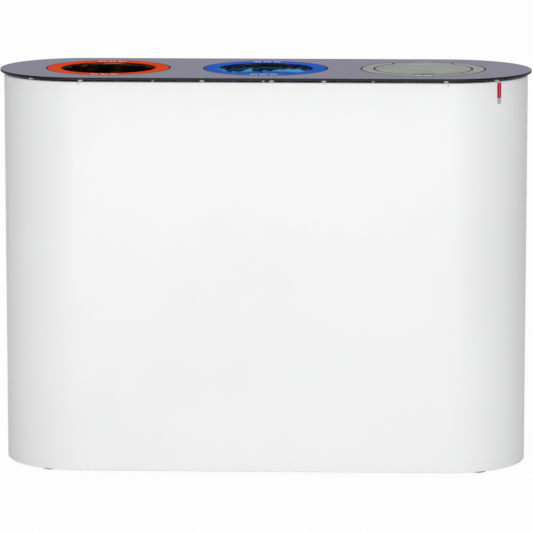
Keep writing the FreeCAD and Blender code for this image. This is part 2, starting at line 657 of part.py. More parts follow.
def liners():
    """Plain bag solids: up inside the bin, through the bag ring's neck and over it as a cuff.

    Under the two open rings the slack film is bunched inwards and up, nearly to the ring.
    """
    wall = "(bin_wall + film_gap)"
    low = f"({PAN_TOP} + bin_wall + film_gap)"
    shoulder = f"({BIN_TOP} - film_gap)"
    inside = "(neck_radius - film_gap)"
    outside = "(neck_radius + ring_sheet + film_gap)"
    over = f"({NECK_TOP} + film_gap)"
    waist = f"({over} + film_thick + slack_rise)"
    edge = "(total_height - slack_drop)"
    slack = [
        (inside, f"{over} + film_thick"), ("slack_waist", waist), ("slack_mouth", edge),
        ("slack_mouth - film_thick", edge), ("slack_waist - film_thick", f"{waist} - film_thick"),
        (f"{inside} - film_thick", over),
    ]
    for side, middle in PLACES:
        mouth = [(f"{inside} - film_thick", f"{over} + film_thick")] if side == "right" else slack
        body = new_body(f"liner_{side}", middle)
        turn(body, [
            ("0", low), (f"bin_bottom_radius - {wall} - film_thick", low),
            (f"bin_top_radius - {wall} - film_thick", shoulder), (inside, shoulder), (inside, over),
            (outside, over), (outside, f"{over} - cuff_height"),
            (f"{outside} + film_thick", f"{over} - cuff_height"),
            (f"{outside} + film_thick", f"{over} + film_thick"),
            *mouth, (f"{inside} - film_thick", f"{shoulder} - film_thick"),
            (f"bin_top_radius - {wall} - 2 * film_thick", f"{shoulder} - film_thick"),
            (f"bin_bottom_radius - {wall} - 2 * film_thick", f"{low} + film_thick"),
            ("0", f"{low} + film_thick"),
        ])


def top_plate():
    """Lid plate with a stepped round hole for each ring and blind holes for the screws."""
    body = new_body("top_plate")
    outside = new_sketch(body, PLATE_LOW)
    draw_stadium(outside, "half_straight", PLATE_RADIUS)
    block = pad(body, outside, "plate_thick")
    upper = bevel(body, block, "total_height", "0", "plate_chamfer")
    bevel(body, upper, PLATE_LOW, "0", "plate_chamfer")
    middles = [(middle, "0") for _, middle in PLACES]
    drill(body, middles, "ring_radius + ring_gap", "total_height", "ring_thick")
    drill(body, middles, HOLE_RADIUS, "total_height", "2 * plate_thick")
    for places in (hinge_screw_places(), keeper_screw_places()):
        drill(body, places, "screw_radius + pin_gap", BLIND_TOP, "plate_thick")


def ring_bosses(body):
    """Four screw bosses under a ring's flange, inside the plate's hole."""
    places = corners(BOSS_PLACE, BOSS_PLACE)
    pad_circles(body, places, "boss_radius", PLATE_LOW, f"{SEAT_LEVEL} - {PLATE_LOW}")
    drill(body, places, "screw_radius + pin_gap", BLIND_TOP, f"{BLIND_TOP} - {PLATE_LOW}")


def open_rings():
    """The two open rings: a flush flange that thins towards the throw-in hole."""
    for side, middle in PLACES[:2]:
        body = new_body(f"throw_ring_{side}", middle)
        turn(body, [
            ("throw_radius", "total_height - lip_thick"),
            ("throw_radius + lip_slope", SEAT_LEVEL), ("ring_radius", SEAT_LEVEL),
            ("ring_radius", "total_height - ring_edge"), ("ring_radius - ring_edge", "total_height"),
            ("throw_radius + ring_edge", "total_height"), ("throw_radius", "total_height - ring_edge"),
        ])
        ring_bosses(body)


def flap_ring():
    """The right-hand ring: a ledge for the flap, a cut for its hinge tab and two pin lugs."""
    body = new_body("throw_ring_right", PLACES[2][1])
    collar = f"({FLAP_HOLE} + collar_wall)"
    turn(body, [
        (f"{FLAP_HOLE} - ledge_width", LEDGE_LOW), (collar, LEDGE_LOW), (collar, SEAT_LEVEL),
        ("ring_radius", SEAT_LEVEL), ("ring_radius", "total_height - ring_edge"),
        ("ring_radius - ring_edge", "total_height"), (FLAP_HOLE, "total_height"), (FLAP_HOLE, LEDGE_TOP),
        (f"{FLAP_HOLE} - ledge_width", LEDGE_TOP),
    ])
    ring_bosses(body)
    hinge_cut = new_sketch(body, "total_height")
    draw_tab(hinge_cut, "(tab_half + flap_gap)", "(tab_radius + tab_gap)")
    pocket(body, hinge_cut, "3 * ring_thick")
    cut_box(body, "0 - notch_half", "notch_half", f"0 - {FLAP_HOLE} + notch_rim", "0 - notch_half",
            SEAT_LEVEL, "3 * ring_thick")
    for start in ("0 - tab_half - flap_gap - lug_thick", "tab_half + flap_gap"):
        pad_box(body, "flap_axis_y - lug_half", "flap_axis_y + lug_half", f"{FLAP_AXIS_Z} - lug_drop",
                f"{SEAT_LEVEL} + lug_root", start, "lug_thick", "YZ_Plane")
    drill(body, [("flap_axis_y", FLAP_AXIS_Z)], "flap_pin_radius + pin_gap", "ring_radius",
          "2 * ring_radius", "YZ_Plane")


def draw_tab(sketch, half, radius):
    """Outline of the hinge tab: straight sides and a round back edge about the ring's centre."""
    width = value(half)
    size = value(radius)
    rise = math.sqrt(size ** 2 - width ** 2)
    front = value("flap_axis_y") / 2
    circle = Part.Circle(Vector(0, 0, 0), Vector(0, 0, 1), size)
    angle = math.atan2(rise, width)
    back = sketch.addGeometry(Part.ArcOfCircle(circle, angle, math.pi - angle))
    left = sketch.addGeometry(Part.LineSegment(Vector(-width, rise, 0), Vector(-width, front, 0)))
    low = sketch.addGeometry(Part.LineSegment(Vector(-width, front, 0), Vector(width, front, 0)))
    right = sketch.addGeometry(Part.LineSegment(Vector(width, front, 0), Vector(width, rise, 0)))
    loop = [(back, 2, left, 1), (left, 2, low, 1), (low, 2, right, 1), (right, 2, back, 1)]
    for first, end, second, start in loop:
        sketch.addConstraint(Sketcher.Constraint("Coincident", first, end, second, start))
    sketch.addConstraint(Sketcher.Constraint("Coincident", back, 3, -1, 1))
    hold(sketch, Sketcher.Constraint("Radius", back, size), radius)
    hold_point(sketch, low, 1, f"0 - {half}", "flap_axis_y / 2")
    hold_point(sketch, low, 2, half, "flap_axis_y / 2")
    sketch.addConstraint(Sketcher.Constraint("Vertical", left))
    sketch.addConstraint(Sketcher.Constraint("Vertical", right))


def flap():
    """The lifting flap: a disc with a hinge tab, a rib under it, knuckles and a finger notch."""
    low = "(total_height - flap_thick)"
    body = new_body("flap", PLACES[2][1])
    pad_circles(body, [("0", "0")], "flap_radius", low, "flap_thick")
    tab = new_sketch(body, low)
    draw_tab(tab, "tab_half", "tab_radius")
    pad(body, tab, "flap_thick")
    rib = new_sketch(body, f"{low} - rib_depth")
    draw_circles(rib, [("0", "0")], "rib_radius")
    draw_circles(rib, [("0", "0")], "rib_radius - rib_wall")
    pad(body, rib, "rib_depth")
    for start in ("0 - tab_half", "tab_half - knuckle_long"):
        pad_box(body, "flap_axis_y - lug_half", "flap_axis_y + lug_half", f"{FLAP_AXIS_Z} - lug_drop",
                f"{low} + lug_root", start, "knuckle_long", "YZ_Plane")
    drill(body, [("flap_axis_y", FLAP_AXIS_Z)], "flap_pin_radius + pin_gap", "ring_radius",
          "2 * ring_radius", "YZ_Plane")
    cut_box(body, "0 - notch_half", "notch_half", "0 - flap_radius - flap_gap", "notch_depth - flap_radius",
            "total_height", "2 * flap_thick")


def flap_pins():
    body = new_body("flap_pins", PLACES[2][1])
    outer = "(tab_half + flap_gap + lug_thick)"
    for start in (f"0 - {outer}", f"{outer} - flap_pin_length"):
        pad_circles(body, [("flap_axis_y", FLAP_AXIS_Z)], "flap_pin_radius", start, "flap_pin_length",
                    "YZ_Plane")


def ring_fixings():
    """Large washers and screws that hold the rings up against the lid plate from below."""
    places = at_rings(corners(BOSS_PLACE, BOSS_PLACE))
    washers = new_body("ring_washers")
    pad_circles(washers, places, "washer_radius", WASHER_LOW, "washer_thick")
    drill(washers, places, "screw_radius + pin_gap", PLATE_LOW, "2 * washer_thick")
    screws = new_body("ring_screws")
    lid_screws(screws, places, WASHER_LOW)


def tag_piece(label, low, length):
    """A thin label curved round the right-hand end: two cylinder sectors, the inner one cut away."""
    degrees = "tag_width / shell_radius * 180 / pi"
    sectors = []
    inner = "shell_radius + pin_gap"
    for name, radius in (("outer", f"{inner} + tag_thick"), ("inner", inner)):
        sector = doc.addObject("Part::Cylinder", f"{label}_{name}")
        sector.setExpression("Radius", linked(radius))
        sector.setExpression("Height", linked(length))
        sector.setExpression("Angle", linked(degrees))
        sectors.append(sector)
    piece = doc.addObject("Part::Cut", label)
    piece.Label = label
    piece.Base = sectors[0]
    piece.Tool = sectors[1]
    turn_to = value("tag_angle - 90") - value(degrees) / 2
    piece.Placement.Rotation = Rotation(Vector(0, 0, 1), turn_to)
    piece.setExpression("Placement.Base.x", linked("half_straight"))
    piece.setExpression("Placement.Base.z", linked(low))
    parts.append(piece)


def tags():
    red_low = f"({RIM_TOP} - tag_drop - tag_red)"
    tag_piece("tag_red_part", red_low, "tag_red")
    tag_piece("tag_silver_part", f"{red_low} - tag_silver", "tag_silver")


def check():
    """Stop before anything is written if a feature or a sub-part is broken."""
    doc.recompute()
    for item in doc.Objects:
        if "Invalid" in item.State or "Error" in item.State:
            raise RuntimeError(f"{item.Label} ({item.Name}) failed: {item.State}")
    for item in parts:
        if item.Shape.isNull() or not item.Shape.isValid() or not item.Shape.Solids:
            raise RuntimeError(f"{item.Label} has no valid solid")


def write():
    os.makedirs("parts", exist_ok=True)
    for item in parts:
        item.Shape.exportStep(f"parts/{item.Label}.step")
        volume = item.Shape.Volume / 1000
        print(f"{item.Label}: {len(item.Shape.Solids)} solid(s), {volume:.1f} cm3")


fill_sheet()
body_shell()
floor_pan()
dividers()
divider_screws()
feet()
rest_pads()
rim_rivets()
gap_bumpers()
catches()
hinges()
bins()
bag_rings()
liners()
top_plate()
open_rings()
flap_ring()
flap()
flap_pins()
ring_fixings()
tags()
check()
write()
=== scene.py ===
"""Looks of a free-standing recycling station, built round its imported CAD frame. Metres."""
import math

import bmesh
import bpy
from mathutils import Matrix, Vector, noise


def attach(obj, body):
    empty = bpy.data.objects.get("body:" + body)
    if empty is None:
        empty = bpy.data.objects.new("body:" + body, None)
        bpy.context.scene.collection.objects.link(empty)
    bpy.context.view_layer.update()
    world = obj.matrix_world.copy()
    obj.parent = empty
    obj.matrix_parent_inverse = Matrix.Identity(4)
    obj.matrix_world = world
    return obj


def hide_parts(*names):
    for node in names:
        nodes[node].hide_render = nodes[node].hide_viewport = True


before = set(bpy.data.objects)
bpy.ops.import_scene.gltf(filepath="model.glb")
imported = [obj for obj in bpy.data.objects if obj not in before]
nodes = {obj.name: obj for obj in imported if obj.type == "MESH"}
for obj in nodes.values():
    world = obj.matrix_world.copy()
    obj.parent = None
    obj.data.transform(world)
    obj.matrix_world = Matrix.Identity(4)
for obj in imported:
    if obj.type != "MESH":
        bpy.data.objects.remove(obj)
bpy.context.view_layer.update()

MM = 0.001

# --- Body ------------------------------------------------------------------------------
# One long steel sheet bent round both ends and butt welded at the back, with a narrow rim
# folded inwards above and below. It is powder coated white, and it carries everything.

BODY_HALF_STRAIGHT = 427 * MM
BODY_RADIUS = 185 * MM
BODY_LOW = 10 * MM
LID_TOP = 934 * MM
LID_THICK = 6 * MM
SHADOW_GAP = 5.5 * MM
BODY_TOP = LID_TOP - LID_THICK - SHADOW_GAP
BODY_SHEET = 1.5 * MM
BODY_RIM = 17 * MM
FOLD_RADIUS = 2.2 * MM
FOLD_STEPS = 6
END_STEPS = 72
STRAIGHT_STEPS = 24
COAT_WHITE = "F4F4F4"
COAT_SHADE = "F0F0F1"


def linear(code):
    """A colour written in sRGB hex, as the linear colour that a shader takes."""
    channels = [int(code[i:i + 2], 16) / 255 for i in (0, 2, 4)]
    return [c / 12.92 if c <= 0.04045 else ((c + 0.055) / 1.055) ** 2.4 for c in channels] + [1]


def add(tree, kind, inputs=(), stops=(), **settings):
    """Add a shader node. An input is given a value, or linked when it is an output or a node,
    which stands for its first output. The stops are a ramp's positions and colours."""
    made = tree.nodes.new("ShaderNode" + kind)
    for name, setting in settings.items():
        setattr(made, name, setting)
    for socket, source in inputs.items() if isinstance(inputs, dict) else enumerate(inputs):
        if isinstance(source, bpy.types.Node):
            source = source.outputs[0]
        if isinstance(source, bpy.types.NodeSocket):
            tree.links.new(source, made.inputs[socket])
        else:
            made.inputs[socket].default_value = source
    for number, (position, colour) in enumerate(stops):
        made.color_ramp.elements[number].position = position
        made.color_ramp.elements[number].color = linear(colour)
    return made


def new_finish(name, colour, roughness, metallic=0.0):
    """A material with its plain values on the shader's own sockets."""
    material = bpy.data.materials.new(name)
    material.use_nodes = True
    tree = material.node_tree
    shader = tree.nodes["Principled BSDF"]
    shader.inputs["Base Color"].default_value = linear(colour)
    shader.inputs["Roughness"].default_value = roughness
    shader.inputs["Metallic"].default_value = metallic
    return material, tree, shader


def grains_per_metre(size_mm):
    """Scale of a texture whose grain has that size."""
    return 1 / (size_mm * MM)


def mottle(tree, shader, size_mm, dark, light, detail=3.0, low=0.35, high=0.65, place=None):
    """Cloudy change between two colours. Returns the noise."""
    place = place or add(tree, "TexCoord").outputs["Object"]
    cloud = add(tree, "TexNoise", {"Vector": place, "Scale": grains_per_metre(size_mm), "Detail": detail})
    tones = add(tree, "ValToRGB", [cloud], stops=((low, dark), (high, light)))
    tree.links.new(tones.outputs["Color"], shader.inputs["Base Color"])
    return cloud


def rough_between(tree, shader, factor, low, high):
    """Roughness that follows a pattern."""
    span = add(tree, "MapRange", {"Value": factor, "To Min": low, "To Max": high})
    tree.links.new(span.outputs["Result"], shader.inputs["Roughness"])


def relief(tree, shader, height, depth_mm, strength=0.5):
    """Fine relief from a pattern."""
    bump = add(tree, "Bump", {"Height": height, "Distance": depth_mm * MM, "Strength": strength})
    tree.links.new(bump.outputs["Normal"], shader.inputs["Normal"])


def to_mesh(name, form, mend_normals=True):
    """Turn a bmesh into a mesh, with outward normals."""
    if mend_normals:
        bmesh.ops.recalc_face_normals(form, faces=form.faces)
    mesh = bpy.data.meshes.new(name)
    form.to_mesh(mesh)
    form.free()
    return mesh


def new_piece(name, mesh, material, body, sharp_angle=None, node=None):
    """Put a finished mesh in the scene: its finish, its body, and the CAD node that it replaces."""
    piece = bpy.data.objects.new(name, mesh)
    bpy.context.scene.collection.objects.link(piece)
    mesh.materials.append(material)
    mesh.shade_smooth()
    if sharp_angle is not None:
        mesh.set_sharp_from_angle(angle=math.radians(sharp_angle))
    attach(piece, body)
    if node:
        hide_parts(node)
    return piece


def skin(form, loops, closed=False):
    """Join loops of the same count with faces, and the last with the first when closed."""
    following = loops[1:] + loops[:1] if closed else loops[1:]
    for lower, upper in zip(loops, following):
        for i in range(len(lower)):
            k = (i + 1) % len(lower)
            form.faces.new((lower[i], lower[k], upper[k], upper[i]))


def stadium_path():
    """Places along the body's middle line with their outward directions, back middle first."""
    places = []
    for step in range(STRAIGHT_STEPS // 2):
        places.append((-BODY_HALF_STRAIGHT * step / (STRAIGHT_STEPS // 2), 90))
    for step in range(END_STEPS + 1):
        places.append((-BODY_HALF_STRAIGHT, 90 + 180 * step / END_STEPS))
    for step in range(1, STRAIGHT_STEPS):
        places.append((BODY_HALF_STRAIGHT * (2 * step / STRAIGHT_STEPS - 1), 270))
    for step in range(END_STEPS + 1):
        places.append((BODY_HALF_STRAIGHT, 270 + 180 * step / END_STEPS))
    for step in range(1, STRAIGHT_STEPS // 2):
        places.append((BODY_HALF_STRAIGHT * (1 - 2 * step / STRAIGHT_STEPS), 90))
    return places


def fold_profile():
    """Section of the sheet: outside from the lower rim up to the upper rim, then back inside."""
    outside, inside = [], []
    for start, centre in ((-90, BODY_LOW + FOLD_RADIUS), (0, BODY_TOP - FOLD_RADIUS)):
        for step in range(FOLD_STEPS + 1):
            turn = math.radians(start + 90 * step / FOLD_STEPS)
            for radius, side in ((FOLD_RADIUS, outside), (FOLD_RADIUS - BODY_SHEET, inside)):
                side.append((BODY_RADIUS - FOLD_RADIUS + radius * math.cos(turn),
                             centre + radius * math.sin(turn)))
    mouth = BODY_RADIUS - BODY_RIM
    return ([(mouth, BODY_LOW)] + outside + [(mouth, BODY_TOP), (mouth, BODY_TOP - BODY_SHEET)]
            + inside[::-1] + [(mouth, BODY_LOW + BODY_SHEET)])


# Polyester powder coat on steel: an even satin white with a faint orange peel. The peel's
# real waves are about 1.5 mm; they are drawn at 5 mm, the finest that still shows.
powder_coat, tree, shader = new_finish("white_powder_coat", COAT_WHITE, 0.38)
shader.inputs["IOR"].default_value = 1.5
mottle(tree, shader, 380, COAT_SHADE, COAT_WHITE, low=0.2, high=0.5)
place = add(tree, "TexCoord").outputs["Object"]
peel = add(tree, "TexNoise", {"Vector": place, "Scale": grains_per_metre(5), "Detail": 2})
rough_between(tree, shader, peel, 0.34, 0.42)
relief(tree, shader, peel, 0.05)

form = bmesh.new()
loops = []
for across, heading in stadium_path():
    turn = math.radians(heading)
    loops.append([form.verts.new((across + r * math.cos(turn), r * math.sin(turn), z))
                  for r, z in fold_profile()])
skin(form, loops, closed=True)
new_piece("body_sheet", to_mesh("body_sheet", form), powder_coat, "housing",
          sharp_angle=35, node="body_shell")

# --- Floor pan and dividers ------------------------------------------------------------
# Galvanised steel sheet: the pan lies loose on the lower rim, and two folded dividers are
# screwed to it between the bins.


def dress(name, material):
    """Give a CAD node its finish."""
    mesh = nodes[name].data
    mesh.materials.clear()
    mesh.materials.append(material)


# Hot-dip zinc on steel: a dull metal with spangle, crystals of about 12 mm.
galvanised, tree, shader = new_finish("galvanised_steel", "A9AEB2", 0.42, 1.0)
place = add(tree, "TexCoord").outputs["Object"]
crystals = add(tree, "TexVoronoi", {"Vector": place, "Scale": grains_per_metre(12), "Randomness": 1.0})
tone = add(tree, "SeparateColor", [crystals.outputs["Color"]])
tones = add(tree, "ValToRGB", [tone], stops=((0, "979DA2"), (1, "C3C8CB")))
tree.links.new(tones.outputs["Color"], shader.inputs["Base Color"])
rough_between(tree, shader, crystals.outputs["Distance"], 0.32, 0.52)
for name in ("floor_pan", "divider_left", "divider_right"):
    dress(name, galvanised)

# --- Fasteners -------------------------------------------------------------------------
# Zinc-plated screws with low pan heads and a cross recess, headed and rolled from wire.
# One set each for the dividers, the keepers, the hinges and the rings.

HEAD_STEPS = 48
SCREW_HEAD = 2 * MM

# Blue-passivated zinc plate: bright grey metal with a faint cool tint and light scuffing.
zinc, tree, shader = new_finish("zinc_plated_steel", "BFC3C6", 0.3, 1.0)
rough_between(tree, shader, mottle(tree, shader, 3, "A9AEB3", "CDD0D2"), 0.22, 0.4)


def solids_of(name):
    """Lowest and highest corner of each solid in a CAD node, from left to right."""
    form = bmesh.new()
    form.from_mesh(nodes[name].data)
    bmesh.ops.remove_doubles(form, verts=form.verts, dist=0.01 * MM)
    left = set(form.verts)
    found = []
    while left:
        heap = [left.pop()]
        solid = []
        while heap:
            vert = heap.pop()
            solid.append(vert.co.copy())
            for edge in vert.link_edges:
                other = edge.other_vert(vert)
                if other in left:
                    left.remove(other)
                    heap.append(other)
        found.append([Vector([end(corner[i] for corner in solid) for i in range(3)]) for end in (min, max)])
    form.free()
    return sorted(found, key=lambda corners: [round(place, 4) for place in corners[0]])


def turned(form, profile, place, steps, shape=None, sink=None):
    """Turn a half section about Z and place it. shape gives a radius for an angle and a point of
    the section; sink lowers a point. Both are for what isn't quite round."""
    rings = []
    for number, (radius, height) in enumerate(profile):
        ring = []
        for step in range(steps):
            angle = 2 * math.pi * step / steps
            reach = shape(angle, number, radius) if shape else radius
            spot = Vector((reach * math.cos(angle), reach * math.sin(angle), height))
            if sink:
                spot.z -= sink(spot, number)
            ring.append(form.verts.new(place @ spot))
        rings.append(ring)
    skin(form, rings)
    for ring in (rings[0], rings[-1]):
        form.faces.new(ring)


def pan_head(form, place, radius, height, shank, length):
    """A pan head with a cross recess, its top towards +Z, and its shank below."""
    bar = 0.16 * radius

    def recess(spot, number):
        """Depth of the cross recess, which only the top of the head has."""
        inside = math.hypot(spot.x, spot.y) < 0.56 * radius
        crossed = min(abs(spot.x), abs(spot.y)) < bar
        return 0.62 * height if inside and crossed and number > 4 else 0.0

    profile = [(shank, -length), (shank, 0), (radius, 0), (radius, 0.45 * height),
               (0.9 * radius, 0.8 * height)]
    for share in (0.72, 0.6, 0.54, 0.42, 0.3, 0.18, 0.08):
        profile.append((share * radius, height * (1 - 0.12 * share ** 2)))
    turned(form, profile, place, HEAD_STEPS, sink=recess)


def screws(name, node, down=True):
    """Detailed screws in place of a CAD node's plain ones, with their heads down or up."""
    form = bmesh.new()
    for low, high in solids_of(node):
        middle = (low + high) / 2
        radius = (high.x - low.x) / 2
        seat = low.z + SCREW_HEAD if down else high.z - SCREW_HEAD
        place = Matrix.Translation((middle.x, middle.y, seat))
        if down:
            place = place @ Matrix.Rotation(math.pi, 4, "X")
        pan_head(form, place, radius, SCREW_HEAD, 0.55 * radius, high.z - low.z - SCREW_HEAD)
    new_piece(name, to_mesh(name, form), zinc, "lid" if down else "housing",
              sharp_angle=40, node=node)


screws("divider_pan_screws", "divider_screws", down=False)
for use in ("keeper", "hinge", "ring"):
    screws(f"{use}_pan_screws", f"{use}_screws")

# --- Levelling feet --------------------------------------------------------------------
# Four feet: a moulded nylon pad with a fluted edge, an M8 stud pressed into it, and a hex
# nut on each side of the pan. They are turned by hand to level the station.

STUD_PITCH = 1.25 * MM
STUD_BORE = 4.06 * MM
THREAD_DEPTH = 0.6 * MM
FLUTES = 20
FLUTE_DEPTH = 1 * MM


def under(low, high):
    """Place at the middle of a solid's underside."""
    return Matrix.Translation(((low.x + high.x) / 2, (low.y + high.y) / 2, low.z))


# Glass-filled nylon, moulded in a spark-eroded tool: matt black. The texture's real grain
# is 0.1 mm and is drawn at 0.6 mm.
black_nylon, tree, shader = new_finish("moulded_black_nylon", "1C1D20", 0.55)
relief(tree, shader, mottle(tree, shader, 0.6, "17181A", "25262A"), 0.05, 0.6)

form = bmesh.new()
for low, high in solids_of("foot_pads"):
    radius = (high.x - low.x) / 2
    tall = high.z - low.z

    def fluted(angle, number, reach):
        """The pad's radius, fluted along its rim only."""
        return reach - (FLUTE_DEPTH * (1 + math.cos(FLUTES * angle)) / 2 if 2 <= number <= 3 else 0)

    turned(form, [(0.05 * radius, 0.6 * MM), (0.86 * radius, 0), (radius, 1.2 * MM), (radius, 3.6 * MM),
                  (0.9 * radius, 4.8 * MM), (0.42 * radius, 5.6 * MM), (0.36 * radius, tall),
                  (STUD_BORE, tall)], under(low, high), steps=120, shape=fluted)
new_piece("fluted_foot_pads", to_mesh("fluted_foot_pads", form), black_nylon, "housing",
          sharp_angle=30, node="foot_pads")

form = bmesh.new()
for low, high in solids_of("foot_studs"):
    radius = (high.x - low.x) / 2
    profile = [(0.55 * radius, 0)]
    for number in range(int((high.z - low.z) / STUD_PITCH)):
        profile.append((radius - THREAD_DEPTH, (number + 0.15) * STUD_PITCH))
        profile.append((radius - 0.02 * MM, (number + 0.6) * STUD_PITCH))
    profile.append((0.7 * radius, high.z - low.z))
    turned(form, profile, under(low, high), steps=32)
new_piece("threaded_studs", to_mesh("threaded_studs", form), zinc, "housing",
          sharp_angle=30, node="foot_studs")

form = bmesh.new()
for low, high in solids_of("foot_nuts"):
    corner = (high.x - low.x) / 2
    tall = high.z - low.z

    def hexagon(angle, number, reach):
        """The nut's radius: flats cut into a chamfered round, and a plain round bore."""
        if number in (0, 5):
            return reach
        flat = corner * math.cos(math.pi / 6)
        side = flat / math.cos((angle % (math.pi / 3)) - math.pi / 6)
        return min(side, reach)

    turned(form, [(STUD_BORE, 0), (0.9 * corner, 0), (corner, 0.09 * corner), (corner, tall - 0.09 * corner),
                  (0.9 * corner, tall), (STUD_BORE, tall)], under(low, high), steps=72, shape=hexagon)
new_piece("hex_nuts", to_mesh("hex_nuts", form), zinc, "housing",
          sharp_angle=25, node="foot_nuts")

# --- Rest pads, bumpers and rim rivets -------------------------------------------------
# The lid closes on white moulded pads clipped to the rim, with three clear silicone
# bumpers between them. Two small rivets hold the front sheet beside the outer pads.

# Polypropylene, moulded: a soft white with a slight sheen.
white_plastic, tree, shader = new_finish("moulded_white_polypropylene", "D2D3D1", 0.42)
shader.inputs["Subsurface Weight"].default_value = 0.15
shader.inputs["Subsurface Scale"].default_value = 1 * MM
relief(tree, shader, mottle(tree, shader, 2, "CCCDCB", "D8D9D7"), 0.03)

PAD_EDGE = 0.8 * MM


def rounded_block(form, low, high):
    """A block with rounded edges."""
    size = high - low
    place = Matrix.Translation((low + high) / 2) @ Matrix.Diagonal((size.x, size.y, size.z, 1))
    made = bmesh.ops.create_cube(form, size=1, matrix=place)
    edges = {e for vert in made["verts"] for e in vert.link_edges}
    bmesh.ops.bevel(form, geom=list(edges), offset=PAD_EDGE, segments=3, profile=0.5, affect="EDGES")


form = bmesh.new()
for low, high in solids_of("rest_pads"):
    rounded_block(form, low, high)
new_piece("rounded_rest_pads", to_mesh("rounded_rest_pads", form), white_plastic, "housing",
          sharp_angle=40, node="rest_pads")

# Silicone rubber, cast clear: nearly colourless, with a soft surface and small bubbles.
silicone, tree, shader = new_finish("clear_silicone", "EEF1F2", 0.22)
shader.inputs["Transmission Weight"].default_value = 0.7
shader.inputs["IOR"].default_value = 1.41
relief(tree, shader, mottle(tree, shader, 1.5, "E4E8EA", "F6F8F9"), 0.03)
dress("gap_bumpers", silicone)

form = bmesh.new()
for low, high in solids_of("rim_rivets"):
    radius = (high.x - low.x) / 2
    depth = high.y - low.y
    place = Matrix.Translation(((low.x + high.x) / 2, high.y, (low.z + high.z) / 2))
    turned(form, [(0.55 * radius, 0), (0.78 * radius, 0.2 * MM), (0.78 * radius, 0.8 * MM),
                  (0.56 * radius, 0.85 * MM), (0.56 * radius, depth - 0.85 * MM),
                  (radius, depth - 0.8 * MM), (radius, depth - 0.6 * MM),
                  (0.7 * radius, depth - 0.15 * MM), (0.35 * radius, depth),
                  (0.2 * radius, depth - 0.25 * MM)], place @ Matrix.Rotation(math.pi / 2, 4, "X"), steps=32)
new_piece("domed_rim_rivets", to_mesh("domed_rim_rivets", form), zinc, "housing",
          sharp_angle=50, node="rim_rivets")

# --- Magnetic catches ------------------------------------------------------------------
# Two catches hang under the front rim, each a moulded block with a sintered magnet
# pressed in. Their keepers are stamped plates screwed under the lid.

dress("catch_blocks", black_nylon)

# Nickel-plated sintered magnet: a bright, slightly warm metal disc.
magnet, tree, shader = new_finish("nickel_plated_magnet", "B9B5AC", 0.25, 1.0)
rough_between(tree, shader, mottle(tree, shader, 1.2, "A7A39A", "C6C3BB"), 0.2, 0.36)
dress("catch_magnets", magnet)
dress("keeper_plates", zinc)

# --- Lid hinges ------------------------------------------------------------------------
# Three butt hinges of stainless strip behind the rim: one leaf riveted to the body, one
# screwed under the lid, and a pin through the rolled knuckles.

# Stainless strip, ground along its length: fine scratches 0.2 mm apart, drawn at 0.8 mm.
stainless, tree, shader = new_finish("ground_stainless_steel", "B4B6B6", 0.3, 1.0)
place = add(tree, "TexCoord").outputs["Object"]
drawn = add(tree, "Mapping", {"Vector": place, "Scale": (0.03, 1, 1)}).outputs["Vector"]
scratch = mottle(tree, shader, 0.8, "A0A2A2", "C2C4C4", place=drawn)
rough_between(tree, shader, scratch, 0.24, 0.42)
relief(tree, shader, scratch, 0.03)
for name in ("hinge_pins", "hinge_body_leaves", "hinge_lid_leaves"):
    dress(name, stainless)

RIVET_HEAD = 1.6 * MM

form = bmesh.new()
for low, high in solids_of("hinge_rivets"):
    radius = (high.x - low.x) / 2
    depth = high.y - low.y
    seat = depth - RIVET_HEAD
    # Past the seat: share of the radius, and share of the head's height.
    dome = [(1, 0), (1, 0.2), (0.86, 0.6), (0.6, 0.9), (0.42, 1), (0.36, 0.7), (0.3, 0.3), (0.12, 0.4)]
    profile = [(0.4 * radius, 0.1 * MM), (0.7 * radius, 0.3 * MM), (0.78 * radius, RIVET_HEAD),
               (0.48 * radius, RIVET_HEAD), (0.48 * radius, seat)]
    profile += [(wide * radius, seat + tall * RIVET_HEAD) for wide, tall in dome]
    place = Matrix.Translation(((low.x + high.x) / 2, low.y, (low.z + high.z) / 2))
    turned(form, profile, place @ Matrix.Rotation(-math.pi / 2, 4, "X"), steps=40)
new_piece("blind_hinge_rivets", to_mesh("blind_hinge_rivets", form), zinc, "housing",
          sharp_angle=50, node="hinge_rivets")

# --- Bins and bag rings ----------------------------------------------------------------
# Three tapered galvanised bins stand on the pan. A loose pressed ring, powder coated
# black, sits on each rim, and the liner comes up through its neck.

for name in ("bin_left", "bin_middle", "bin_right"):
    dress(name, galvanised)

# Black powder coat on pressed steel sheet: satin, with a faint orange peel drawn at 5 mm.
black_coat, tree, shader = new_finish("black_powder_coat", "1A1A1C", 0.45)
orange_peel = mottle(tree, shader, 5, "171719", "1E1E20")
rough_between(tree, shader, orange_peel, 0.4, 0.5)
relief(tree, shader, orange_peel, 0.05)
for name in ("bag_ring_left", "bag_ring_middle", "bag_ring_right"):
    dress(name, black_coat)

# --- Liners ----------------------------------------------------------------------------
# Thin film bags. Each lines its bin, comes up through the bag ring's neck and folds over
# it as a cuff. Under the two open rings the slack film is bunched inwards and up.

BIN_PITCH = 368 * MM
FILM_STEPS = 240
FILM_SHEET = 0.12 * MM
BIN_WALL_ROWS = 46
PLEATS = 15

# Painted shade on the blue film: dark high up under the ring, and more to the left, with a painted highlight
# at the far left.
SHADE_TOP = LID_TOP - 10 * MM
SHADE_LOW = LID_TOP - 24 * MM
SHADE_LEFT = -90 * MM
SHADE_RIGHT = 130 * MM
HIGHLIGHT_LEFT = -110 * MM

# A painted glow stands for daylight through it inside the cuff and below it, and fades further down.
CUFF_INNER = 134.6 * MM
CUFF_LOW = LID_TOP - 29 * MM
FULL_LIGHT = LID_TOP - 62 * MM
NO_LIGHT = LID_TOP - 192 * MM
DAYLIGHT = 0.22

